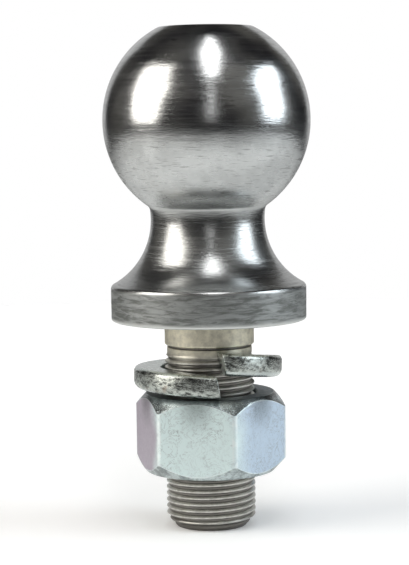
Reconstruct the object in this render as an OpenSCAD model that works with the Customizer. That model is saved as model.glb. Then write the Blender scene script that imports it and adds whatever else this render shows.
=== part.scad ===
// Trailer hitch ball: a one-piece forged ball stud, its split lock washer and its hex nut.
// The origin is the centre of the flange's underside, where the stud sits on a drawbar.
// +Z points up the ball, and the shank hangs below the origin.

/* [Ball] */
// Diameter of the ball, nominally 2 5/16 in
ball_d = 58.5; // [58:0.05:58.8]
// Height of the ball's centre above the seat
ball_z = 56.2; // [56:0.1:57]
// Diameter of the flat on top of the ball
flat_d = 26.6; // [16:0.1:34]

/* [Neck and flange] */
// Diameter of the neck at its narrowest
neck_d = 32.2; // [31:0.1:33]
// Height of the narrowest point of the neck
neck_z = 28.6; // [28.2:0.1:29.4]
// Radius of the hollow curve that flares from the neck to the flange
flare_r = 20.9; // [19:0.1:21.5]
// Angle through which that curve turns, in degrees
flare_turn = 61.2; // [56:0.1:62]
// Diameter of the flange
flange_d = 55.3; // [54.6:0.1:57]
// Rounding of the flange's lower edge
flange_round = 0.7; // [0.4:0.1:2.5]
// Fillet between the ball and the neck
ball_fillet = 1.5; // [0.8:0.1:2.5]

/* [Shank] */
// Diameter of the plain shoulder, 1 in
shank_d = 25.4; // [25.2:0.05:25.5]
// Length of the plain shoulder
shoulder_len = 7; // [4:0.1:7.5]
// Diameter of the rolling blank between the shoulder and the thread
blank_d = 24.1; // [23.6:0.1:24.6]
// Distance from the seat to the start of the thread
thread_start = 9.3; // [8.6:0.05:10]
// Length of the whole shank below the seat
shank_len = 58.9; // [58.9:0.1:70]
// Diameter of the shank's end face
end_d = 20; // [18:0.1:22]
// Length of the taper at the shank's end
end_taper = 3.1; // [1:0.1:4]

/* [Thread] */
// Distance from one thread to the next, 14 to the inch
pitch = 1.8143; // [1.8143:0.0001:2.1167]
// Diameter over the thread's crests, 1 in
thread_d = 25.4; // [25.1:0.05:25.4]
// Depth of the thread
thread_depth = 1; // [0.8:0.05:1.05]
// Bearing at which a crest passes the height of the seat, in degrees
thread_phase = 0; // [0:5:355]

/* [Lock washer] */
// Inside diameter
washer_id = 26.9; // [26.9:0.05:27.5]
// Outside diameter
washer_od = 42; // [41:0.1:43]
// Thickness of the section
washer_t = 6.3; // [5.6:0.05:6.35]
// Height that the free washer climbs from one cut end to the other
washer_rise = 6.4; // [5:0.05:6.5]
// Width of the cut, measured round the outside
washer_cut = 1.5; // [0.8:0.1:4]
// Bearing of the cut, in degrees from the front towards +X
washer_bearing = 10.4; // [0:0.1:30]
// Slant of the cut ends, in degrees
cut_slant = 13; // [0:0.5:18]
// Tilt of the loose washer, with its front raised, in degrees
washer_tilt = 4; // [3.8:0.1:4.6]
// Tilt of the washer sideways, with its -X side raised, in degrees
washer_roll = 1.15; // [0:0.05:1.3]
// Distance from the seat down to the washer's centre
washer_z = 15.05; // [14.9:0.05:15.1]
// Sideways lean of the loose washer against the shank, towards -X
washer_lean = 0.5; // [0:0.05:0.5]

/* [Hex nut] */
// Width across the flats, 1 1/2 in
nut_af = 38; // [36.8:0.1:38.1]
// Height of the nut
nut_h = 22.3; // [21.1:0.1:22.5]
// Distance from the seat down to the nut's upper face
nut_z = 20.65; // [20.6:0.05:20.9]
// Diameter of the round bearing faces
bearing_d = 36.5; // [34:0.1:37]
// Slope of the turned chamfers at both ends, in degrees
nut_chamfer = 48; // [25:1:55]
// Rounding of the six upright edges
edge_round = 1.6; // [0.4:0.1:3]
// Bearing of one upright edge, in degrees from the front towards +X
nut_bearing = 18; // [0:0.1:60]
// Radial clearance between the nut's thread and the shank's
thread_clear = 0.3; // [0.28:0.01:0.35]

/* [Hidden] */

ball_r = ball_d / 2;
neck_r = neck_d / 2;
flange_r = flange_d / 2;
shank_r = shank_d / 2;
blank_r = blank_d / 2;
crest_r = thread_d / 2;
shoulder_break = 0.4;
front = -90;

// The thread's upper rim stays just inside the blank's end face
rim_inset = 0.1;

// The flare's circle lies outside the neck, and its arc ends at flare_end
flare_c = [neck_r + flare_r, neck_z];
flare_end = flare_c - flare_r * [cos(flare_turn), sin(flare_turn)];

// The rounded shoulder of the flange touches the flare's end and the flange's upright band
shoulder_r = (flange_r - flare_end.x) / (1 - cos(flare_turn));
shoulder_c = flare_end - shoulder_r * [cos(flare_turn), sin(flare_turn)];

// The fillet's circle touches the ball from outside and the flare's circle from inside
ball_c = [0, ball_z];
fillet_c = low_meeting(ball_c, ball_r + ball_fillet, flare_c, flare_r - ball_fillet);
fillet_on_ball = ball_c + (fillet_c - ball_c) * ball_r / (ball_r + ball_fillet);
fillet_on_flare = flare_c + (fillet_c - flare_c) * flare_r / (flare_r - ball_fillet);
neck_top = fillet_on_ball.y + 1;

// One pitch of thread: the crest's and the root's corners, as shares of the pitch
crest_share = 0.2;
root_share = 0.2;
flank_share = (1 - crest_share - root_share) / 2;
corner_at = [0, crest_share, crest_share + flank_share, 1 - flank_share];
corner_height = [1, 1, 0, 0];
corners = len(corner_at);
turn_steps = 36;
merge_gap = 0.06 * pitch;
runout = 0.9 * pitch;

// The lower of the two points where two circles meet
function low_meeting(a, ra, b, rb) =
    let (span = norm(b - a))
    let (along = (b - a) / span)
    let (reach = (ra * ra - rb * rb + span * span) / (2 * span))
    let (side = sqrt(ra * ra - reach * reach))
    a + reach * along - side * [-along.y, along.x];

function clamp01(t) = min(max(t, 0), 1);

// Radius of a screw surface at height z, where raise is 1 on the crest and 0 in the root.
// Near each end it runs out to that end's own radius, which keeps the end faces flat.
function screw_r(z, raise, crest, low, high) =
    let (thread = crest - thread_depth * (1 - raise))
    let (from_low = clamp01((z - low[0]) / low[2]))
    let (from_high = clamp01((high[0] - z) / high[2]))
    let (above = low[1] + from_low * (thread - low[1]))
    high[1] + from_high * (above - high[1]);

// A solid right-hand screw round Z. low and high are each [height, end radius, run-out length].
// Its points lie on turn_steps upright lines, at the crest's and root's corners, which climb
// one pitch in a full turn. Points past an end are all one point on that end's rim.
module screw(crest, low, high) {
    first = corners * (floor(low[0] / pitch) - 2);
    last = corners * (ceil(high[0] / pitch) + 1);
    count = last - first + 1;
    function level(k) = floor(k / corners) + corner_at[k - corners * floor(k / corners)];
    function height(j, k) = pitch * (level(k) + j / turn_steps);
    function raise(k) = corner_height[k - corners * floor(k / corners)];
    function rim(r, z, j) = [r * cos(j * 360 / turn_steps), r * sin(j * 360 / turn_steps), z];
    function number(j, k) =
        j == turn_steps ? number(0, k + corners)
        : height(j, k) < low[0] + merge_gap ? j
        : height(j, k) > high[0] - merge_gap ? turn_steps + j
        : 2 * turn_steps + j * count + k - first;
    points = concat(
        [for (j = [0:turn_steps - 1]) rim(low[1], low[0], j)],
        [for (j = [0:turn_steps - 1]) rim(high[1], high[0], j)],
        [
            for (j = [0:turn_steps - 1])
            for (k = [first:last])
            let (z = min(max(height(j, k), low[0]), high[0]))
            rim(screw_r(z, raise(k), crest, low, high), z, j)
        ]
    );
    sides = [
        for (j = [0:turn_steps - 1])
        for (k = [first:last - 1])
        let (a = number(j, k))
        let (b = number(j + 1, k))
        let (c = number(j + 1, k + 1))
        let (d = number(j, k + 1))
        for (face = [[a, d, c], [a, c, b]])
        if (face[0] != face[1] && face[1] != face[2] && face[2] != face[0]) face
    ];
    caps = [
        [for (j = [0:turn_steps - 1]) j],
        [for (j = [turn_steps - 1:-1:0]) turn_steps + j]
    ];
    rotate([0, 0, thread_phase])
        polyhedron(points = points, faces = concat(sides, caps), convexity = 10);
}

module half_ball() {
    flat_z = sqrt(ball_r * ball_r - flat_d * flat_d / 4);
    translate(ball_c)
        intersection() {
            circle(r = ball_r, $fn = 180);
            translate([0, -ball_r]) square([ball_r, ball_r + flat_z]);
        }
}

module neck_outline() {
    difference() {
        translate([0, flare_end.y]) square([flare_end.x, neck_top - flare_end.y]);
        translate(flare_c) circle(r = flare_r, $fn = 180);
    }
    difference() {
        polygon([fillet_on_flare, fillet_c, fillet_on_ball, [neck_r - 2, fillet_on_ball.y]]);
        translate(fillet_c) circle(r = ball_fillet, $fn = 60);
    }
}

module flange_outline() {
    polygon([
        [0, 0],
        [flange_r - flange_round, 0],
        [flange_r - flange_round, flange_round],
        [flange_r, flange_round],
        [flange_r, shoulder_c.y],
        shoulder_c,
        flare_end,
        [0, flare_end.y]
    ]);
    translate([flange_r - flange_round, flange_round]) circle(r = flange_round, $fn = 48);
    translate(shoulder_c) circle(r = shoulder_r, $fn = 90);
}

module plain_shank_outline() {
    polygon([
        [0, 0],
        [shank_r, 0],
        [shank_r, shoulder_break - shoulder_len],
        [shank_r - shoulder_break, -shoulder_len],
        [blank_r, -shoulder_len],
        [blank_r, -thread_start],
        [0, -thread_start]
    ]);
}

module ball_stud() {
    color("#b9bcc0") {
        rotate_extrude($fn = 120) {
            half_ball();
            neck_outline();
            flange_outline();
            plain_shank_outline();
        }
        screw(
            crest_r,
            [-shank_len, end_d / 2, end_taper],
            [-thread_start, blank_r - rim_inset, runout]
        );
    }
}

// One round corner of the washer's section, about its centre, from angle a to a + 90
function corner_arc(centre, r, a) =
    [for (i = [0:3]) centre + r * [cos(a + 30 * i), sin(a + 30 * i)]];

// The washer's section as [radius, height] about its own middle, anticlockwise
function washer_section() =
    let (inner = washer_id / 2)
    let (outer = washer_od / 2)
    let (half = washer_t / 2)
    let (soft = 0.6)
    let (upper = 1.3)
    let (lower = 2.2)
    concat(
        corner_arc([outer - upper, half - upper], upper, 0),
        corner_arc([inner + soft, half - soft], soft, 90),
        corner_arc([inner + soft, soft - half], soft, 180),
        corner_arc([outer - lower, lower - half], lower, 270)
    );

// The section is carried once round a left-hand helix, clockwise and upwards from the lower
// cut end. The slant shifts each point sideways by its height, so that the cut ends are flat.
module lock_washer() {
    steps = 72;
    section = washer_section();
    sides = len(section);
    half_cut = washer_cut / washer_od * 180 / PI;
    start = front + washer_bearing - half_cut;
    sweep = 360 - 2 * half_cut;
    function place(share, p) =
        let (shift = -p.y * tan(cut_slant) / p.x * 180 / PI)
        let (a = start - sweep * share + shift)
        [p.x * cos(a), p.x * sin(a), p.y + washer_rise * (share - 0.5)];
    points = [for (i = [0:steps]) for (p = section) place(i / steps, p)];
    walls = [
        for (i = [0:steps - 1])
        for (j = [0:sides - 1])
        let (k = (j + 1) % sides)
        let (a = i * sides + j)
        let (b = i * sides + k)
        for (face = [[a, b, b + sides], [a, b + sides, a + sides]]) face
    ];
    ends = [
        [for (j = [sides - 1:-1:0]) j],
        [for (j = [0:sides - 1]) steps * sides + j]
    ];
    color("#a9b4b4")
        translate([-washer_lean, 0, -washer_z])
            rotate([-washer_tilt, washer_roll, 0])
                polyhedron(points = points, faces = concat(walls, ends), convexity = 4);
}

// The hexagon with its six corners rounded
module nut_outline() {
    corner_r = nut_af / 2 / cos(30);
    centre_r = corner_r - edge_round / cos(30);
    function dir(a) = [cos(a), sin(a)];
    rotate(front + nut_bearing) {
        polygon([
            for (i = [0:5])
            for (side = [-30, 30])
            centre_r * dir(60 * i) + edge_round * dir(60 * i + side)
        ]);
        for (i = [0:5]) translate(centre_r * dir(60 * i)) circle(r = edge_round, $fn = 48);
    }
}

// The profile that turns both ends of the hexagon down to the round bearing faces
module nut_turning_outline() {
    wide = nut_af / 2 / cos(30) + 1;
    drop = (wide - bearing_d / 2) * tan(nut_chamfer);
    polygon([
        [0, 0],
        [bearing_d / 2, 0],
        [wide, -drop],
        [wide, drop - nut_h],
        [bearing_d / 2, -nut_h],
        [0, -nut_h]
    ]);
}

module hex_nut() {
    overrun = 1.5;
    mouth_r = crest_r + 1.7;
    mouth = 3.2;
    color("#bfd0d4")
        difference() {
            translate([0, 0, -nut_z])
                intersection() {
                    translate([0, 0, -nut_h]) linear_extrude(nut_h) nut_outline();
                    rotate_extrude($fn = 120) nut_turning_outline();
                }
            screw(
                crest_r + thread_clear,
                [-nut_z - nut_h - overrun, mouth_r, mouth],
                [overrun - nut_z, mouth_r, mouth]
            );
        }
}

ball_stud();
lock_washer();
hex_nut();
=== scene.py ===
import math

import bpy
import numpy as np
from bpy.props import FloatProperty, FloatVectorProperty, IntProperty, PointerProperty
from mathutils import Matrix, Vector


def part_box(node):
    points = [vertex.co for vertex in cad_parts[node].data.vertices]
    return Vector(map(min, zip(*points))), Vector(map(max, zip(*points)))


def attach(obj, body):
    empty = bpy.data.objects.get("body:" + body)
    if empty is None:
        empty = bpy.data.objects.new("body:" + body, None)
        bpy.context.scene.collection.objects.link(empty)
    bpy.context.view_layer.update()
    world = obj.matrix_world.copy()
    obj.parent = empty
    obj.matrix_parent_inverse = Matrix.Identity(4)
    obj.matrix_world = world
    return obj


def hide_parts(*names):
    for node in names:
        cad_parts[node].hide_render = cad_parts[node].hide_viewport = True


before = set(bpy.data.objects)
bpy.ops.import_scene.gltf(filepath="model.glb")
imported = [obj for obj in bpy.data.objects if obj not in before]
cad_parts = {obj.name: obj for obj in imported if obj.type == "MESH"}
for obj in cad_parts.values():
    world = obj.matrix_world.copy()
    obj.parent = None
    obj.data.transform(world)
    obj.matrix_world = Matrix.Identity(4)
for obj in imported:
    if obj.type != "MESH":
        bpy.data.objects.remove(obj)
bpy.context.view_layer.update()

bl_info = {
    "name": "Trailer hitch ball",
    "version": (1, 0, 0),
    "blender": (4, 5, 0),
    "location": "View3D > Sidebar > Hitch ball",
    "description": "Builds a finished hitch ball stud, lock washer and hex nut around their frame",
    "category": "Object",
}

MM = 0.001
PITCH = 25.4 * MM / 14
STUD_LOW, STUD_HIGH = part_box("ball_stud")
NUT_LOW, NUT_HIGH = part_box("hex_nut")


# ---------------------------------------------------------------- settings


def length(name, description, default):
    return FloatProperty(
        name=name, description=description, default=default, unit="LENGTH", subtype="DISTANCE", precision=5
    )


def angle(name, description, degrees):
    return FloatProperty(
        name=name, description=description, default=math.radians(degrees), unit="ROTATION", subtype="ANGLE"
    )


def colour(name, description, default):
    return FloatVectorProperty(
        name=name, description=description, default=default, subtype="COLOR", size=3, min=0, max=1
    )


class HitchStudSettings(bpy.types.PropertyGroup):
    """Sizes of the forged ball stud above its thread."""

    ball_r: length("Ball radius", "Radius of the ball", min(-STUD_LOW[0], STUD_HIGH[0], STUD_HIGH[1]))
    ball_z: length("Ball height", "Height of the ball's centre above the seat", 56.2 * MM)
    flat_r: length("Flat radius", "Radius of the flat on top of the ball", 13.3 * MM)
    flat_soft: length("Flat edge", "Rounding of the flat's edge", 0.7 * MM)
    neck_r: length("Neck radius", "Radius of the neck at its narrowest", 16.1 * MM)
    neck_z: length("Neck height", "Height of the narrowest point of the neck", 28.6 * MM)
    flare_r: length("Flare radius", "Radius of the hollow curve down to the flange", 20.9 * MM)
    flare_turn: angle("Flare turn", "Angle through which that curve turns", 61.2)
    ball_fillet: length("Ball fillet", "Fillet between ball and neck", 1.5 * MM)
    flange_r: length("Flange radius", "Radius of the flange", 27.65 * MM)
    flange_soft: length("Flange edge", "Rounding of the flange's lower edge", 0.7 * MM)
    shank_r: length("Shank radius", "Radius of the plain shoulder", 12.7 * MM)
    shoulder_len: length("Shoulder length", "Length of the plain shoulder", 7.0 * MM)
    blank_r: length("Blank radius", "Radius of the rolling blank", 12.05 * MM)


class HitchThreadSettings(bpy.types.PropertyGroup):
    """Sizes of the rolled thread, shared by the stud and the nut."""

    pitch: length("Pitch", "Distance from one thread to the next", PITCH)
    crest_r: length("Crest radius", "Radius over the thread's crests", 12.7 * MM)
    depth: length("Depth", "Depth of the thread", 1.0 * MM)
    start: length("Start", "Distance from the seat to the thread", 9.3 * MM)
    end_r: length("End radius", "Radius of the shank's end face", 10.0 * MM)
    taper: length("End taper", "Length of the taper at the end", 3.1 * MM)
    run_out: length("Run-out", "Length over which the thread fades into the blank", 0.9 * PITCH)
    clear: length("Clearance", "Radial clearance inside the nut", 0.3 * MM)
    rows: IntProperty(name="Rows", description="Mesh rows in one pitch", default=10, min=6)


class HitchWasherSettings(bpy.types.PropertyGroup):
    """Sizes of the split lock washer as it lies on the nut."""

    inner_r: length("Inner radius", "Radius of the hole", 13.45 * MM)
    outer_r: length("Outer radius", "Radius of the outside", 21.0 * MM)
    thick: length("Thickness", "Thickness of the section", 6.3 * MM)
    rise: length("Rise", "Climb from one cut end to the other", 6.4 * MM)
    cut: length("Cut", "Width of the cut, round the outside", 1.5 * MM)
    cut_bearing: angle("Cut bearing", "Where the cut is, from the front towards +X", 10.4)
    slant: angle("Slant", "Slant of the cut ends", 13)
    tilt: angle("Tilt", "Tilt of the washer, with its front raised", 4.0)
    roll: angle("Roll", "Sideways tilt of the washer, with its -X side raised", 1.15)
    drop: length("Drop", "Distance from the seat down to the washer's centre", 15.05 * MM)
    lean: length("Lean", "Shift of the washer towards -X", 0.5 * MM)


class HitchNutSettings(bpy.types.PropertyGroup):
    """Sizes of the hex nut."""

    half_flats: length("Half width", "Half the width across the flats", 19.0 * MM)
    bearing_r: length("Bearing radius", "Radius of the round bearing faces", 18.25 * MM)
    mouth_r: length("Mouth radius", "Radius of the countersunk thread mouth", 13.7 * MM)
    mouth: length("Mouth depth", "Depth over which the mouth meets the thread", 0.7 * PITCH)
    edge_soft: length("Upright edges", "Rounding of the six upright edges", 1.6 * MM)
    # Upright edges beyond this radius are painted bright, partly as wear and partly as a painted highlight.
    wear_and_highlight_r: length("Worn radius", "Where the upright edges are worn bright", 21.4 * MM)
    crease_soft: length("Crease", "Rounding where the chamfer meets the flats", 0.35 * MM)
    corner_bearing: angle("Corner bearing", "Where one corner is, from the front towards +X", 18.0)
    chamfer: angle("Chamfer", "Slope of the turned chamfers", 48)


class HitchFinishSettings(bpy.types.PropertyGroup):
    """Colours of the metals."""

    plating: colour("Plating", "Bright plating on ball, neck and flange", (0.60, 0.61, 0.61))
    bare_steel: colour("Bare steel", "Unplated shoulder of the shank", (0.80, 0.755, 0.61))
    thread_steel: colour("Thread steel", "Unplated thread", (0.74, 0.73, 0.69))
    washer_zinc: colour("Washer zinc", "Zinc on the lock washer", (0.68, 0.73, 0.71))
    nut_zinc: colour("Nut zinc", "Passivated zinc on the nut", (0.77, 0.90, 0.90))


class HitchStageSettings(bpy.types.PropertyGroup):
    """Camera, floor and lights."""

    distance: length("Camera distance", "From the stud's axis to the camera", 494 * MM)
    eye: length("Eye height", "Height of the camera above the seat", 54.5 * MM)
    aside: length("Aside", "How far the camera stands left of the axis", 1.15 * MM)
    pitch: angle("Pitch", "How far the camera looks down", 5.1)
    roll: angle("Roll", "How far the camera leans to its right", 0.76)
    lens: FloatProperty(name="Lens", description="Focal length", default=111.5, unit="CAMERA")
    floor_r: length("Floor radius", "Radius of the pale floor", 640 * MM)
    lit_r: length("Lit radius", "Where the floor's reflection starts to fade", 110 * MM)
    dark_r: length("Dark radius", "Where the floor's reflection has faded", 480 * MM)
    panel_distance: length("Panel distance", "From the ball to the light panels", 1.1)


# ---------------------------------------------------------------- surfaces


def arc(centre, radius, start, end, steps):
    """Points on a circle about centre, from bearing start to bearing end in degrees."""
    turn = np.radians(np.linspace(start, end, steps + 1))
    return np.asarray(centre) + radius * np.column_stack([np.cos(turn), np.sin(turn)])


def line(start, end, shares):
    """Points on a straight line at the given shares of its length."""
    start, end = np.asarray(start, float), np.asarray(end, float)
    return start + np.asarray(shares, float)[:, None] * (end - start)


def bearing(vector):
    return math.degrees(math.atan2(vector[1], vector[0]))


def smooth(t):
    """0 below 0, 1 above 1, and an S curve between."""
    t = np.clip(t, 0, 1)
    return t * t * (3 - 2 * t)


def grid_quads(rows, columns, closed):
    """Corner numbers of the quads in a grid of points. A closed grid's last column meets its first."""
    i, j = np.meshgrid(np.arange(rows - 1), np.arange(columns if closed else columns - 1), indexing="ij")
    i, j = i.ravel(), j.ravel()
    k = (j + 1) % columns
    return np.column_stack([i * columns + j, i * columns + k, (i + 1) * columns + k, (i + 1) * columns + j])


def build_object(name, grids, material, sharp_degrees=50):
    """One mesh from several grids of points, each [points, quads]. Equal points are joined, quads are
    split into triangles, and triangles that have shrunk to a line are left out."""
    step = 1e-7
    starts = np.cumsum([0] + [len(points) for points, _ in grids])
    points = np.concatenate([points for points, _ in grids])
    quads = np.concatenate([quads + start for (_, quads), start in zip(grids, starts)])
    _, first, number = np.unique(np.round(points / step), axis=0, return_index=True, return_inverse=True)
    triangles = number.ravel()[np.concatenate([quads[:, [0, 1, 2]], quads[:, [0, 2, 3]]])]
    ends = np.roll(triangles, 1, axis=1)
    triangles = triangles[(triangles != ends).all(axis=1)]
    used, triangles = np.unique(triangles, return_inverse=True)
    triangles = triangles.reshape(-1, 3)
    mesh = bpy.data.meshes.new(name)
    mesh.from_pydata(points[first][used], [], triangles)
    mesh.validate()
    mesh.shade_smooth()
    mesh.set_sharp_from_angle(angle=math.radians(sharp_degrees))
    mesh.materials.append(material)
    piece = bpy.data.objects.new(name, mesh)
    bpy.context.scene.collection.objects.link(piece)
    return piece


def revolve(profile, turns):
    """A surface of revolution. Row i is the circle of radius profile[i, 0] at height profile[i, 1], and
    column j stands at turns[j]. The profile runs downwards, so that the faces point outwards."""
    r, z = profile[:, :1], profile[:, 1:]
    points = np.stack([r * np.cos(turns), r * np.sin(turns), z + 0 * turns], axis=-1)
    quads = grid_quads(len(profile), len(turns), True)[:, ::-1]
    return points.reshape(-1, 3), quads


def thread_form(share):
    """Height of the thread, 0 in the root and 1 on the crest, where share runs from 0 to 1 over a
    pitch and the crest's middle is at 0.1. Flats of a fifth of the pitch, with softened corners."""
    away = np.abs((share - 0.1 + 0.5) % 1 - 0.5)
    slope = (0.4 - away) / 0.3
    return 0.45 * np.clip(slope, 0, 1) + 0.55 * smooth((slope + 0.1) / 1.2)


def screw(turns, thread, low, high, extra_r):
    """A right-hand screw surface between two flat rims. Each column climbs one pitch in a full turn,
    so that rows follow the thread. The radius is the crest's less the depth times one minus the
    thread's form, run out to each rim's own radius. low and high are (height, radius, run-out)."""
    rows = thread.rows
    first = rows * (math.floor(low[0] / thread.pitch) - 2)
    last = rows * (math.ceil(high[0] / thread.pitch) + 2)
    level = np.arange(first, last + 1) / rows
    climb = np.append(turns, turns[0] + 2 * math.pi) / (2 * math.pi)
    z = thread.pitch * (level[:, None] + climb)
    r = thread.crest_r + extra_r - thread.depth * (1 - thread_form(level % 1))[:, None]
    r = r + 0 * z
    z = np.clip(z, low[0], high[0])
    from_low = np.clip((z - low[0]) / low[2], 0, 1)
    from_high = np.clip((high[0] - z) / high[2], 0, 1)
    r = low[1] + from_low * (r - low[1])
    r = high[1] + from_high * (r - high[1])
    around = np.append(turns, turns[0])
    points = np.stack([r * np.cos(around), r * np.sin(around), z], axis=-1)
    points[:-rows, -1] = points[rows:, 0]
    points = points[:-rows]
    return points.reshape(-1, 3), grid_quads(len(points), len(around), False)


def circle_meeting(a, ra, b, rb):
    """The lower of the two points where two circles meet."""
    a, b = np.asarray(a), np.asarray(b)
    span = np.linalg.norm(b - a)
    along = (b - a) / span
    reach = (ra**2 - rb**2 + span**2) / (2 * span)
    side = math.sqrt(ra**2 - reach**2)
    return a + reach * along - side * np.array([-along[1], along[0]])


def stud_profile(s, thread):
    """Half outline of the stud as [radius, height], from the middle of the top flat to the thread.
    It is a chain of arcs that touch: flat's edge, ball, fillet, hollow flare, flange shoulder, flange's
    lower edge, and then the stepped shank in straight lines, with a narrow groove under its shoulder."""
    ball_c = np.array([0.0, s.ball_z])
    flat_z = s.ball_z + math.sqrt(s.ball_r**2 - s.flat_r**2)
    edge_z = flat_z - s.flat_soft
    edge_c = np.array([math.sqrt((s.ball_r - s.flat_soft) ** 2 - (edge_z - s.ball_z) ** 2), edge_z])
    flare_c = np.array([s.neck_r + s.flare_r, s.neck_z])
    turn = s.flare_turn
    out = np.array([math.cos(turn), math.sin(turn)])
    flare_end = flare_c - s.flare_r * out
    shoulder_r = (s.flange_r - flare_end[0]) / (1 - out[0])
    shoulder_c = flare_end - shoulder_r * out
    fillet_c = circle_meeting(ball_c, s.ball_r + s.ball_fillet, flare_c, s.flare_r - s.ball_fillet)
    ball_low = bearing(fillet_c - ball_c)
    fillet_start = bearing(ball_c - fillet_c)
    flare_start = bearing(fillet_c - flare_c)
    soft_c = np.array([s.flange_r - s.flange_soft, s.flange_soft])
    edge_break = 0.5 * MM
    groove_r, groove_z = s.blank_r - 0.4 * MM, -s.shoulder_len - 0.4 * MM
    return np.concatenate([
        line([0, flat_z], [edge_c[0], flat_z], [0, 0.3, 0.6, 0.85, 0.97]),
        arc(edge_c, s.flat_soft, 90, bearing(edge_c - ball_c), 5),
        arc(ball_c, s.ball_r, bearing(edge_c - ball_c), ball_low, 84)[1:],
        arc(fillet_c, s.ball_fillet, fillet_start, flare_start, 7)[1:],
        arc(flare_c, s.flare_r, flare_start, 180 + math.degrees(turn), 34)[1:],
        arc(shoulder_c, shoulder_r, math.degrees(turn), 0, 10)[1:],
        line([s.flange_r, shoulder_c[1]], [s.flange_r, soft_c[1]], [0.25, 0.5, 0.75, 1]),
        arc(soft_c, s.flange_soft, 0, -90, 6)[1:],
        line([soft_c[0], 0], [s.shank_r, 0], [0.04, 0.5, 0.97, 1]),
        line([s.shank_r, 0], [s.shank_r, edge_break - s.shoulder_len], [0.03, 0.3, 0.6, 0.97]),
        arc([s.shank_r - edge_break, edge_break - s.shoulder_len], edge_break, 0, -90, 4),
        line([groove_r, -s.shoulder_len], [groove_r, groove_z], [0, 0.5, 1]),
        line([s.blank_r, groove_z - 0.25 * MM], [s.blank_r, -thread.start], [0, 0.1, 0.35, 0.7, 0.95, 1]),
    ])


def washer_place(w):
    """Where the tilted washer lies, as a matrix."""
    turn = Matrix.Rotation(w.roll, 4, "Y") @ Matrix.Rotation(-w.tilt, 4, "X")
    return Matrix.Translation((-w.lean, 0, -w.drop)) @ turn


def washer_section(w, inset):
    """The washer's section as [radius, height] about its middle, anticlockwise, with round corners
    and all its edges moved inwards by inset."""
    half = w.thick / 2
    soft, upper, lower = 0.6 * MM, 1.3 * MM, 2.2 * MM
    return np.concatenate([
        arc([w.outer_r - upper, half - upper], upper - inset, 0, 90, 7),
        line([w.outer_r - upper, half - inset], [w.inner_r + soft, half - inset], [0.1, 0.35, 0.65, 0.9]),
        arc([w.inner_r + soft, half - soft], soft - inset, 90, 180, 5),
        arc([w.inner_r + soft, soft - half], soft - inset, 180, 270, 5),
        line([w.inner_r + soft, inset - half], [w.outer_r - lower, inset - half], [0.1, 0.35, 0.65, 0.9]),
        arc([w.outer_r - lower, lower - half], lower - inset, 270, 360, 8),
    ])


def washer_surface(w):
    """The section carried once round a left-hand helix, clockwise and upwards from the lower cut end.
    The slant shifts each point sideways by its height, so that the cut ends are flat. The last rows at
    each end shrink the section a little, which breaks the cut's sharp edge, and then to a point."""
    steps = 200
    bevel = 0.22 * MM
    half_cut = w.cut / 2 / w.outer_r
    sweep = 2 * math.pi - 2 * half_cut
    bevel_share = bevel / (w.outer_r * sweep)
    shares = np.concatenate([
        [0, 0, bevel_share],
        np.linspace(2 * bevel_share, 1 - 2 * bevel_share, steps),
        [1 - bevel_share, 1, 1],
    ])
    full, shrunk = washer_section(w, 0), washer_section(w, bevel)
    middle = np.array([(w.inner_r + w.outer_r) / 2, 0]) + 0 * full
    sections = np.stack([middle, shrunk] + [full] * (steps + 2) + [shrunk, middle])
    r, h = sections[..., 0], sections[..., 1]
    turn = -math.pi / 2 + w.cut_bearing - half_cut - sweep * shares[:, None] - h * math.tan(w.slant) / r
    flat = np.stack([r * np.cos(turn), r * np.sin(turn), h + w.rise * (shares[:, None] - 0.5)], axis=-1)
    place = np.array(washer_place(w))
    points = flat.reshape(-1, 3) @ place[:3, :3].T + place[:3, 3]
    return points, grid_quads(len(shares), full.shape[0], True)[:, ::-1]


def hexagon_corner(n):
    """Distance from the axis to the centre of a corner's round, and the angle from the corner at which
    that round meets the flat."""
    centre = (n.half_flats - n.edge_soft) / math.cos(math.pi / 6)
    touch = math.atan2(n.edge_soft * 0.5, centre + n.edge_soft * math.cos(math.pi / 6))
    return centre, touch


def hexagon_radius(n, away):
    """Distance from the axis to the rounded hexagon, away radians from its nearest corner: to the
    round of the corner where the ray meets it, and to the flat elsewhere."""
    away = np.abs(away)
    centre, touch = hexagon_corner(n)
    to_round = centre * np.cos(away) + np.sqrt(np.maximum(n.edge_soft**2 - (centre * np.sin(away)) ** 2, 0))
    to_flat = n.half_flats / np.cos(math.pi / 6 - away)
    return np.where(away < touch, to_round, to_flat)


def nut_turns(n):
    """Columns round the nut, in radians, close together at the rounded corners, and each column's
    angle from its nearest corner."""
    touch = math.degrees(hexagon_corner(n)[1])
    flat = np.linspace(touch * 1.9, 27, 9)
    corner = touch * np.array([0, 0.33, 0.67, 1, 1.2])
    side = np.concatenate([corner, flat])
    away = np.radians(np.concatenate([-side[:0:-1], side, [30]]))
    corners = np.arange(6)[:, None] * math.pi / 3 - math.pi / 2 + n.corner_bearing
    return (corners + away).ravel(), np.tile(away, 6)


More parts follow.
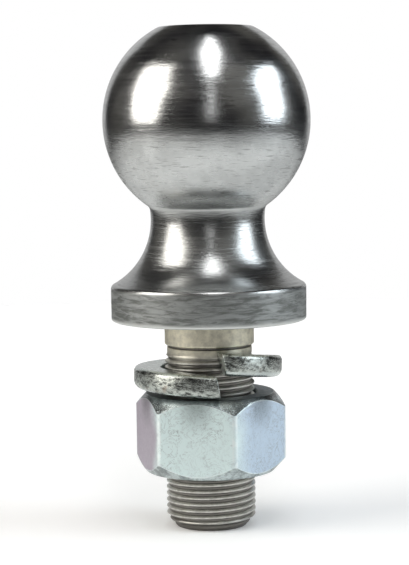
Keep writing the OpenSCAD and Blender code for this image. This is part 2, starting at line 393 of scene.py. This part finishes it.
def nut_outside(n, low_z, high_z):
    """The nut's outer skin. Down each column, the bearing face runs out to its round edge, a turned
    chamfer drops to the rounded hexagon, and the same follows upside down at the bottom. Arcs soften
    both turns, and the chamfer's length follows the hexagon's radius, which gives the curved creases."""
    turns, away = nut_turns(n)
    reach = hexagon_radius(n, away)[None, :]
    lip, crease = 0.4 * MM, n.crease_soft
    slope, degrees = math.tan(n.chamfer), math.degrees(n.chamfer)

    def upper_half(middle_z):
        lip_c = np.array([n.bearing_r - lip * math.tan(n.chamfer / 2), high_z - lip])
        lip_arc = arc(lip_c, lip, 90, 90 - degrees, 4)
        face = line([n.mouth_r, high_z], [lip_c[0], high_z], [0, 0.04, 0.5, 0.96])
        fixed = np.concatenate([face, lip_arc])
        r_fixed = fixed[:, :1] + 0 * reach
        z_fixed = fixed[:, 1:] + 0 * reach
        crease_z = high_z - (reach - n.bearing_r) * slope
        turn = np.radians(np.linspace(90 - degrees, 0, 7))[:, None]
        r_crease = reach - crease + crease * np.cos(turn)
        z_crease = crease_z - crease * math.tan((math.pi / 2 - n.chamfer) / 2) + crease * np.sin(turn)
        near = np.array([0.1, 0.5, 0.9])[:, None]
        r_slope = r_fixed[-1] + near * (r_crease[0] - r_fixed[-1])
        z_slope = z_fixed[-1] + near * (z_crease[0] - z_fixed[-1])
        down = np.array([0.06, 0.5])[:, None]
        r_side = reach + 0 * down
        z_side = z_crease[-1] + down * (middle_z - z_crease[-1])
        r = np.concatenate([r_fixed, r_slope, r_crease, r_side])
        z = np.concatenate([z_fixed, z_slope, z_crease, z_side])
        return r, z

    middle_z = (low_z + high_z) / 2
    r, z = upper_half(middle_z)
    r = np.concatenate([r, r[::-1]])
    z = np.concatenate([z, (2 * middle_z - z)[::-1]])
    points = np.stack([r * np.cos(turns), r * np.sin(turns), z], axis=-1)
    return points.reshape(-1, 3), grid_quads(len(r), len(turns), True)[:, ::-1], turns


# ---------------------------------------------------------------- finishes


class Finish:
    """A node tree of one material, with short calls for the nodes that the metals share."""

    def __init__(self, name):
        self.material = bpy.data.materials.new(name)
        self.material.use_nodes = True
        self.tree = self.material.node_tree
        self.shader = self.tree.nodes["Principled BSDF"]
        self.place = self.node("ShaderNodeTexCoord").outputs["Object"]

    def node(self, kind, **settings):
        made = self.tree.nodes.new(kind)
        for key, value in settings.items():
            setattr(made, key, value)
        return made

    def feed(self, socket, value):
        """Links an output to a socket, or sets the socket when the value is a plain number."""
        if isinstance(value, bpy.types.NodeSocket):
            self.tree.links.new(value, socket)
        elif socket.type == "RGBA" and len(value) == 3:
            socket.default_value = (*value, 1)
        else:
            socket.default_value = value

    def stretched(self, scale, turn=(0, 0, 0), shift=(0, 0, 0)):
        """The object's coordinates, scaled along each axis, then turned, then shifted."""
        mapping = self.node("ShaderNodeMapping")
        self.feed(mapping.inputs["Vector"], self.place)
        mapping.inputs["Scale"].default_value = scale
        mapping.inputs["Rotation"].default_value = turn
        mapping.inputs["Location"].default_value = shift
        return mapping.outputs["Vector"]

    def length(self, vector):
        made = self.node("ShaderNodeVectorMath", operation="LENGTH")
        self.feed(made.inputs[0], vector)
        return made.outputs["Value"]

    def noise(self, vector, scale, detail=3, rough=0.5, distortion=0):
        noise = self.node("ShaderNodeTexNoise")
        self.feed(noise.inputs["Vector"], vector)
        noise.inputs["Scale"].default_value = scale
        noise.inputs["Detail"].default_value = detail
        noise.inputs["Roughness"].default_value = rough
        noise.inputs["Distortion"].default_value = distortion
        return noise.outputs["Fac"]

    def between(self, value, low, high, to_low=0.0, to_high=1.0):
        """The value's place between low and high, clamped, as a number from to_low to to_high."""
        ranged = self.node("ShaderNodeMapRange", interpolation_type="SMOOTHSTEP")
        self.feed(ranged.inputs["Value"], value)
        for key, number in zip(("From Min", "From Max", "To Min", "To Max"), (low, high, to_low, to_high)):
            ranged.inputs[key].default_value = number
        return ranged.outputs["Result"]

    def maths(self, operation, a, b=0.0):
        made = self.node("ShaderNodeMath", operation=operation)
        self.feed(made.inputs[0], a)
        self.feed(made.inputs[1], b)
        return made.outputs["Value"]

    def times(self, a, b):
        return self.maths("MULTIPLY", a, b)

    def along(self, axis):
        """The object's coordinate along one axis."""
        split = self.node("ShaderNodeSeparateXYZ")
        self.feed(split.inputs["Vector"], self.place)
        return split.outputs[axis]

    def from_axis(self):
        """Distance from the object's Z axis."""
        return self.length(self.stretched((1, 1, 0)))

    def mix(self, share, a, b, kind="RGBA"):
        """Colour a where the share is 0 and colour b where it is 1."""
        made = self.node("ShaderNodeMix", data_type=kind)
        self.feed(made.inputs["Factor"], share)
        self.feed(made.inputs["A"], a)
        self.feed(made.inputs["B"], b)
        return made.outputs["Result"]

    def mix_value(self, share, a, b):
        """The same with plain numbers."""
        return self.mix(share, a, b, "FLOAT")

    def bump(self, height, depth, below=None):
        """Bump from a height of 0 to 1, depth metres deep, laid over an earlier bump."""
        made = self.node("ShaderNodeBump")
        made.inputs["Distance"].default_value = depth
        self.feed(made.inputs["Height"], height)
        if below is not None:
            self.feed(made.inputs["Normal"], below)
        return made.outputs["Normal"]


def forging_finish(colours):
    """Bright turned plating above the seat: brushed on the flange's band, with a painted highlight along
    the band's foot, soft on the neck and satin on the lower half of the ball. Below the seat is bare rolled
    steel, with painted shade in the roots of the thread."""
    f = Finish("PlatedForging")
    height = f.along("Z")
    seat, band_top, neck_top, thread_top = 0, 9.2 * MM, 30 * MM, -9.5 * MM
    satin_low, satin_high = 44 * MM, 60 * MM
    root_r, root_soft = 11.6 * MM, 0.65 * MM

    plated = f.between(height, seat - 0.1 * MM, seat + 0.1 * MM)
    bare = f.maths("SUBTRACT", 1.0, plated)
    band = f.between(height, band_top - 0.6 * MM, band_top + 0.6 * MM, 1, 0)
    band_foot = f.between(height, seat + 0.5 * MM, seat + 1.5 * MM, 1, 0)
    neck = f.between(height, neck_top, neck_top + 8 * MM, 1, 0)
    low_ball = f.times(
        f.between(height, satin_low, satin_high, 1, 0),
        f.between(height, neck_top, neck_top + 7 * MM),
    )
    above_thread = f.between(height, thread_top - 1 * MM, thread_top + 1 * MM)
    off_root = f.between(f.from_axis(), root_r, root_r + root_soft)

    turned = f.noise(f.stretched((45, 45, 3400)), 1, 4, 0.6)
    scuffs = f.noise(f.stretched((130, 130, 900)), 1, 5, 0.7, 0.6)
    grain = f.noise(f.stretched((1100, 1100, 2200)), 1, 3, 0.6)
    ticks = f.between(f.noise(f.stretched((260, 260, 3200)), 1, 2, 0.5), 0.6, 0.7)
    clouds = f.noise(f.place, 90, 3, 0.6)
    mottle = f.noise(f.place, 420, 5, 0.65)
    pits = f.noise(f.place, 2300, 3, 0.6)

    dim = tuple(0.8 * c for c in colours.plating)
    neck_shade, tick_shade = (0.3, 0.31, 0.3), (0.12, 0.12, 0.12)
    brushed_dark, brushed_pale, foot_painted_highlight = (0.2, 0.21, 0.2), (0.44, 0.455, 0.455), (0.66, 0.67, 0.66)
    scale_dark, root_painted_shade = (0.2, 0.19, 0.17), (0.2, 0.19, 0.175)
    bright = f.mix(f.between(clouds, 0.35, 0.65), dim, colours.plating)
    bright = f.mix(f.times(neck, 0.35), bright, neck_shade)
    bright = f.mix(f.times(ticks, 0.5), bright, tick_shade)
    brushed = f.mix(f.between(scuffs, 0.36, 0.62), brushed_dark, brushed_pale)
    # Painted highlight: the lowest edge of the band is painted pale.
    bright = f.mix(band, bright, f.mix(band_foot, brushed, foot_painted_highlight))
    steel = f.mix(above_thread, colours.thread_steel, colours.bare_steel)
    steel = f.mix(f.between(mottle, 0.3, 0.7, 0.45, 0), steel, scale_dark)
    # Painted shade: the roots of the thread are painted dark.
    steel = f.mix(off_root, root_painted_shade, steel)
    f.feed(f.shader.inputs["Base Color"], f.mix(plated, steel, bright))
    f.shader.inputs["Metallic"].default_value = 1
    f.shader.inputs["Anisotropic"].default_value = 0.6

    mirror = f.maths("ADD", f.between(turned, 0.3, 0.75, 0.13, 0.23), f.times(neck, 0.055))
    satin = f.between(scuffs, 0.3, 0.7, 0.24, 0.36)
    bright_rough = f.mix_value(band, f.mix_value(low_ball, mirror, satin), 0.46)
    bare_rough = f.between(mottle, 0.3, 0.7, 0.3, 0.46)
    f.feed(f.shader.inputs["Roughness"], f.mix_value(plated, bare_rough, bright_rough))

    marks = f.maths("ADD", f.times(turned, 0.5), f.times(ticks, -0.5))
    rolled = f.maths("ADD", f.times(mottle, 0.6), f.times(pits, 0.4))
    relief = (
        (f.times(marks, plated), 0.006 * MM),
        (f.times(scuffs, plated), 0.05 * MM),
        (f.times(grain, plated), 0.004 * MM),
        (f.times(scuffs, f.times(band, plated)), 0.04 * MM),
        (f.times(rolled, bare), 0.06 * MM),
    )
    normal = None
    for pattern, depth in relief:
        normal = f.bump(pattern, depth, normal)
    f.feed(f.shader.inputs["Normal"], normal)
    return f.material


def washer_finish(colours, w):
    """Bright zinc on the washer's rounded corners, and dark pitted steel on its outer wall, whose darkness
    is partly pitting and partly painted shade.
    """
    f = Finish("ZincSpringSteel")
    own = washer_place(w).inverted()
    radius = f.length(f.stretched((1, 1, 1), own.to_euler(), own.to_translation()))
    wall = f.between(radius, w.outer_r - 0.3 * MM, w.outer_r - 0.02 * MM)
    clouds = f.noise(f.place, 260, 4, 0.65)
    pits = f.noise(f.stretched((520, 520, 1100)), 1, 4, 0.7)
    stain = f.noise(f.place, 120, 3, 0.6)

    dull = tuple(0.75 * c for c in colours.washer_zinc)
    pit_and_shade_dark, wall_pale, rust = (0.09, 0.095, 0.09), (0.5, 0.53, 0.5), (0.34, 0.26, 0.2)
    bright = f.mix(f.between(clouds, 0.3, 0.7), dull, colours.washer_zinc)
    # The outer wall's dark colour is partly pitting and partly painted shade.
    pitted_and_shaded = f.mix(f.between(pits, 0.36, 0.56), pit_and_shade_dark, wall_pale)
    pitted_and_shaded = f.mix(f.between(stain, 0.6, 0.74, 0, 0.7), pitted_and_shaded, rust)
    f.feed(f.shader.inputs["Base Color"], f.mix(wall, bright, pitted_and_shaded))
    f.shader.inputs["Metallic"].default_value = 1
    f.feed(f.shader.inputs["Roughness"], f.between(clouds, 0.3, 0.7, 0.18, 0.34))

    corner_share = 0.25
    share = f.maths("ADD", f.times(wall, 1 - corner_share), corner_share)
    f.feed(f.shader.inputs["Normal"], f.bump(f.times(pits, share), 0.13 * MM))
    return f.material


def nut_finish(colours, n, low_z, high_z):
    """Satin passivated zinc with fine scratches, painted darker and pink towards -X as shade and a
    reflection, and painted blue towards +X as cool light. The turned chamfers are darker and smoother, with
    a bright line beside them and along the upright edges that is partly wear and partly painted highlight,
    and painted shade under the washer."""
    f = Finish("ZincNut")
    slow = f.noise(f.place, 60, 2, 0.5)
    grain = f.noise(f.place, 900, 4, 0.65)
    blots = f.noise(f.place, 330, 5, 0.7)
    contour = f.noise(f.stretched((210, 210, 210), (0.4, 0.9, 0.3)), 1, 4, 0.7, 2.5)
    contour = f.maths("ABSOLUTE", f.maths("SUBTRACT", contour, 0.5))
    scratches = f.times(f.between(contour, 0.0, 0.026, 1, 0), f.between(slow, 0.4, 0.6, 0.15, 0.6))
    wander = f.times(f.maths("SUBTRACT", slow, 0.5), 12 * MM)
    across = f.maths("ADD", f.along("X"), wander)

    middle_z = (low_z + high_z) / 2
    height, radius = f.along("Z"), f.from_axis()
    beyond = f.maths("ABSOLUTE", f.maths("SUBTRACT", height, middle_z))
    outward = f.times(f.maths("SUBTRACT", radius, n.bearing_r), math.tan(n.chamfer))
    to_chamfer = f.maths("SUBTRACT", f.maths("ADD", beyond, outward), high_z - middle_z)
    turned = f.between(to_chamfer, -0.16 * MM, -0.04 * MM)
    # The bright line beside the chamfers and along the upright edges is partly wear and partly a painted
    # highlight.
    beside = f.between(to_chamfer, -0.42 * MM, -0.16 * MM)
    upright = f.between(radius, n.wear_and_highlight_r, n.wear_and_highlight_r + 0.2 * MM)
    wear_and_highlight = f.times(f.maths("MAXIMUM", beside, upright), f.between(blots, 0.42, 0.6, 0.2, 0.8))
    # Painted shade under the washer: the top bearing face, the upper half of the hole and the inner edge of
    # the chamfer are darkened.
    inside = f.between(radius, n.bearing_r + 0.1 * MM, n.bearing_r + 1.7 * MM, 0.85, 0)
    washer_painted_shade = f.times(inside, f.between(height, middle_z, high_z))

    shade_and_reflection_pink, cool_light_blue = (0.47, 0.42, 0.49), (0.57, 0.68, 0.80)
    blot_grey, scratch_grey, wear_and_highlight_zinc = (0.3, 0.33, 0.34), (0.22, 0.24, 0.25), (0.88, 0.95, 0.95)
    turned_dark, turned_pale, painted_shade_dark = (0.3, 0.34, 0.35), (0.62, 0.69, 0.7), (0.04, 0.045, 0.045)
    # Painted light: darker and pink towards -X as painted shade and a painted pink reflection, blue towards
    # +X as painted cool light.
    base = f.mix(f.between(across, -18 * MM, -13 * MM), shade_and_reflection_pink, colours.nut_zinc)
    base = f.mix(f.between(across, 4 * MM, 12 * MM), base, cool_light_blue)
    base = f.mix(f.between(blots, 0.58, 0.7, 0, 0.35), base, blot_grey)
    base = f.mix(scratches, base, scratch_grey)
    base = f.mix(wear_and_highlight, base, wear_and_highlight_zinc)
    base = f.mix(turned, base, f.mix(f.between(blots, 0.4, 0.6), turned_dark, turned_pale))
    base = f.mix(washer_painted_shade, base, painted_shade_dark)
    f.feed(f.shader.inputs["Base Color"], base)
    f.feed(f.shader.inputs["Metallic"], f.mix_value(turned, 0.8, 1.0))
    satin = f.between(grain, 0.3, 0.7, 0.36, 0.5)
    f.feed(f.shader.inputs["Roughness"], f.mix_value(turned, satin, 0.26))
    fine = f.bump(grain, 0.03 * MM)
    f.feed(f.shader.inputs["Normal"], f.bump(scratches, -0.02 * MM, fine))
    return f.material


# ---------------------------------------------------------------- stage


def glow(name, tint, strength):
    """A material that only shines."""
    material = bpy.data.materials.new(name)
    material.use_nodes = True
    tree = material.node_tree
    tree.nodes.clear()
    shine = tree.nodes.new("ShaderNodeEmission")
    shine.inputs["Color"].default_value = (*tint, 1)
    shine.inputs["Strength"].default_value = strength
    output = tree.nodes.new("ShaderNodeOutputMaterial")
    tree.links.new(shine.outputs["Emission"], output.inputs["Surface"])
    return material


def panel(name, directions, distance, centre, tint, strength):
    """A flat-sided panel whose corners lie in the given directions from the ball: degrees from the
    front towards +X, and degrees above the horizon. It lights the object but the camera can't see it."""
    azimuth, elevation = np.radians(np.array(directions, float)).T
    corners = np.column_stack([
        np.sin(azimuth) * np.cos(elevation),
        -np.cos(azimuth) * np.cos(elevation),
        np.sin(elevation),
    ])
    corners = np.asarray(centre) + distance * corners
    points = np.vstack([corners, corners.mean(axis=0)])
    count = len(corners)
    ring = np.arange(count)
    mesh = bpy.data.meshes.new(name)
    mesh.from_pydata(points, [], np.column_stack([ring, (ring + 1) % count, 0 * ring + count]))
    mesh.materials.append(glow(name, tint, strength))
    made = bpy.data.objects.new(name, mesh)
    bpy.context.scene.collection.objects.link(made)
    made.visible_camera = False
    made.visible_shadow = False
    return made


WARM, COOL, WHITE = (1.0, 0.96, 0.9), (0.88, 0.95, 1.0), (1.0, 1.0, 1.0)
PANELS = (
    ("SoftboxLeft", ((-57, -1), (-85, -1), (-91, 18), (-99, 41), (-60, 54), (-47, 30)), WARM, 3.6),
    ("SoftboxRight", ((65, -1), (91, -1), (96, 22), (111, 36), (78, 44), (62, 34)), COOL, 3.6),
    ("CeilingLight", ((1, 47), (-14, 72), (169, 75), (39, 71), (15, 47)), WHITE, 4.0),
    ("SlitLight", ((3, 1), (7, 1), (8, 47), (3, 47)), WHITE, 2.0),
    ("DimWall", ((25, 13), (51, 16), (72, 50), (20, 59)), (1.0, 0.97, 0.9), 0.16),
)


def stage_world():
    """White to the camera, a dim uneven room in reflections, and soft white light on everything."""
    world = bpy.data.worlds.new("Studio")
    bpy.context.scene.world = world
    world.use_nodes = True
    tree = world.node_tree
    tree.nodes.clear()

    def background(strength, tint=WHITE):
        made = tree.nodes.new("ShaderNodeBackground")
        made.inputs["Color"].default_value = (*tint, 1)
        made.inputs["Strength"].default_value = strength
        return made

    def pick(share, a, b):
        made = tree.nodes.new("ShaderNodeMixShader")
        tree.links.new(share, made.inputs["Fac"])
        tree.links.new(a.outputs[0], made.inputs[1])
        tree.links.new(b.outputs[0], made.inputs[2])
        return made

    ray = tree.nodes.new("ShaderNodeLightPath")
    room = background(1.0)
    direction = tree.nodes.new("ShaderNodeTexCoord").outputs["Generated"]
    uneven = tree.nodes.new("ShaderNodeTexNoise")
    uneven.inputs["Scale"].default_value = 1.7
    tree.links.new(direction, uneven.inputs["Vector"])
    ramp = tree.nodes.new("ShaderNodeValToRGB")
    dark_room, pale_room = (0.006, 0.006, 0.008, 1), (0.11, 0.105, 0.095, 1)
    for element, position, tint in zip(ramp.color_ramp.elements, (0.38, 0.66), (dark_room, pale_room)):
        element.position = position
        element.color = tint
    tree.links.new(uneven.outputs["Fac"], ramp.inputs["Fac"])
    tree.links.new(ramp.outputs["Color"], room.inputs["Color"])
    lit = pick(ray.outputs["Is Glossy Ray"], background(0.45), room)
    seen = pick(ray.outputs["Is Camera Ray"], lit, background(1.0))
    output = tree.nodes.new("ShaderNodeOutputWorld")
    tree.links.new(seen.outputs[0], output.inputs["Surface"])


def stage_floor(s):
    """A round white table top under the shank's end. In reflections it fades to dark further out, sooner
    towards the front than sideways. The camera sees it a little over white, so that it has no far edge."""
    turns = np.linspace(0, 2 * math.pi, 96, endpoint=False)
    rim = np.column_stack([np.cos(turns), np.sin(turns), 0 * turns]) * s.floor_r
    rim[:, 2] = STUD_LOW[2]
    mesh = bpy.data.meshes.new("Floor")
    mesh.from_pydata(rim, [], [list(range(len(rim)))])
    f = Finish("PaleFloor")
    rays = f.node("ShaderNodeLightPath").outputs
    sideways = 0.45
    fading = f.between(f.length(f.stretched((sideways, 1, 0))), s.lit_r, s.dark_r)
    mirrored = f.mix(fading, (0.94, 0.95, 0.94), (0.12, 0.12, 0.12))
    seen = f.mix(fading, (1.13, 1.13, 1.13), (1.5, 1.5, 1.5))
    plain = f.mix(rays["Is Camera Ray"], (0.93, 0.93, 0.93), seen)
    f.feed(f.shader.inputs["Base Color"], f.mix(rays["Is Glossy Ray"], plain, mirrored))
    f.shader.inputs["Roughness"].default_value = 0.6
    f.shader.inputs["Specular IOR Level"].default_value = 0.1
    mesh.materials.append(f.material)
    floor = bpy.data.objects.new("Floor", mesh)
    bpy.context.scene.collection.objects.link(floor)


def stage_backdrop(s):
    """A pale backdrop behind the object that only reflections see."""
    tint = glow("Backdrop", WHITE, 0.62)
    around = np.radians(np.linspace(-34, 34, 13))
    up = np.radians(np.linspace(-4, 34, 7))
    azimuth, elevation = np.meshgrid(around, up)
    distance = s.panel_distance
    points = distance * np.stack([
        np.sin(azimuth) * np.cos(elevation),
        np.cos(azimuth) * np.cos(elevation),
        np.sin(elevation),
    ], axis=-1)
    mesh = bpy.data.meshes.new("Backdrop")
    mesh.from_pydata(points.reshape(-1, 3), [], grid_quads(len(up), len(around), False))
    mesh.materials.append(tint)
    made = bpy.data.objects.new("Backdrop", mesh)
    bpy.context.scene.collection.objects.link(made)
    made.visible_camera = False


def stage_camera(s):
    """The camera stands in front at the ball's height, looks a little down and leans to its right."""
    data = bpy.data.cameras.new("Camera")
    data.lens = s.lens
    data.clip_start = 0.01
    camera = bpy.data.objects.new("Camera", data)
    look = Matrix.Rotation(math.pi / 2 - s.pitch, 4, "X") @ Matrix.Rotation(-s.roll, 4, "Z")
    camera.matrix_world = Matrix.Translation((-s.aside, -s.distance, s.eye)) @ look
    bpy.context.scene.collection.objects.link(camera)
    bpy.context.scene.camera = camera


# ---------------------------------------------------------------- operators


class HITCH_OT_stage(bpy.types.Operator):
    """Makes the camera, the pale floor and the soft lights"""

    bl_idname = "hitch.stage"
    bl_label = "Stage"

    def execute(self, context):
        s = context.scene.hitch_stage
        stage_camera(s)
        stage_world()
        stage_floor(s)
        stage_backdrop(s)
        ball = (0, 0, context.scene.hitch_stud.ball_z)
        for name, directions, tint, strength in PANELS:
            panel(name, directions, s.panel_distance, ball, tint, strength)
        context.scene.view_settings.view_transform = "Standard"
        return {"FINISHED"}


class HITCH_OT_ball_stud(bpy.types.Operator):
    """Makes the ball, neck, flange and threaded shank as one forging"""

    bl_idname = "hitch.ball_stud"
    bl_label = "Ball stud"

    def execute(self, context):
        s, thread = context.scene.hitch_stud, context.scene.hitch_thread
        turns = np.linspace(0, 2 * math.pi, 180, endpoint=False)
        body = revolve(stud_profile(s, thread), turns)
        low = (STUD_LOW[2], thread.end_r, thread.taper)
        high = (-thread.start, s.blank_r, thread.run_out)
        shank = screw(turns, thread, low, high, 0)
        end = revolve(line([thread.end_r, low[0]], [0, low[0]], [0, 0.03, 0.5, 1]), turns)
        piece = build_object("BallStud", [body, shank, end], forging_finish(context.scene.hitch_finish))
        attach(piece, "stud")
        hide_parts("ball_stud")
        return {"FINISHED"}


class HITCH_OT_lock_washer(bpy.types.Operator):
    """Makes the split lock washer"""

    bl_idname = "hitch.lock_washer"
    bl_label = "Lock washer"

    def execute(self, context):
        w = context.scene.hitch_washer
        metal = washer_finish(context.scene.hitch_finish, w)
        piece = build_object("LockWasher", [washer_surface(w)], metal)
        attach(piece, "washer")
        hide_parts("lock_washer")
        return {"FINISHED"}


class HITCH_OT_hex_nut(bpy.types.Operator):
    """Makes the chamfered hex nut with its thread"""

    bl_idname = "hitch.hex_nut"
    bl_label = "Hex nut"

    def execute(self, context):
        n, thread = context.scene.hitch_nut, context.scene.hitch_thread
        low_z, high_z = NUT_LOW[2], NUT_HIGH[2]
        points, quads, turns = nut_outside(n, low_z, high_z)
        low, high = (low_z, n.mouth_r, n.mouth), (high_z, n.mouth_r, n.mouth)
        hole, hole_quads = screw(turns, thread, low, high, thread.clear)
        skins = [(points, quads), (hole, hole_quads[:, ::-1])]
        metal = nut_finish(context.scene.hitch_finish, n, low_z, high_z)
        piece = build_object("HexNut", skins, metal)
        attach(piece, "nut")
        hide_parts("hex_nut")
        return {"FINISHED"}


class HITCH_PT_panel(bpy.types.Panel):
    """Lists the pieces and the sizes they are made from"""

    bl_label = "Hitch ball"
    bl_idname = "HITCH_PT_panel"
    bl_space_type = "VIEW_3D"
    bl_region_type = "UI"
    bl_category = "Hitch ball"

    def draw(self, context):
        for operator, settings in PIECES:
            box = self.layout.box()
            box.operator(operator.bl_idname)
            group = getattr(context.scene, settings)
            for key in group.bl_rna.properties.keys():
                if key not in ("rna_type", "name"):
                    box.prop(group, key)


SETTINGS = {
    "hitch_stage": HitchStageSettings,
    "hitch_stud": HitchStudSettings,
    "hitch_thread": HitchThreadSettings,
    "hitch_washer": HitchWasherSettings,
    "hitch_nut": HitchNutSettings,
    "hitch_finish": HitchFinishSettings,
}
PIECES = (
    (HITCH_OT_stage, "hitch_stage"),
    (HITCH_OT_ball_stud, "hitch_stud"),
    (HITCH_OT_lock_washer, "hitch_washer"),
    (HITCH_OT_hex_nut, "hitch_nut"),
)
CLASSES = (*SETTINGS.values(), *(operator for operator, _ in PIECES), HITCH_PT_panel)


def register():
    for cls in CLASSES:
        bpy.utils.register_class(cls)
    for name, group in SETTINGS.items():
        setattr(bpy.types.Scene, name, PointerProperty(type=group))


def unregister():
    for name in SETTINGS:
        delattr(bpy.types.Scene, name)
    for cls in reversed(CLASSES):
        bpy.utils.unregister_class(cls)


def main():
    register()
    bpy.ops.hitch.stage()
    bpy.ops.hitch.ball_stud()
    bpy.ops.hitch.lock_washer()
    bpy.ops.hitch.hex_nut()


if __name__ == "__main__":
    main()
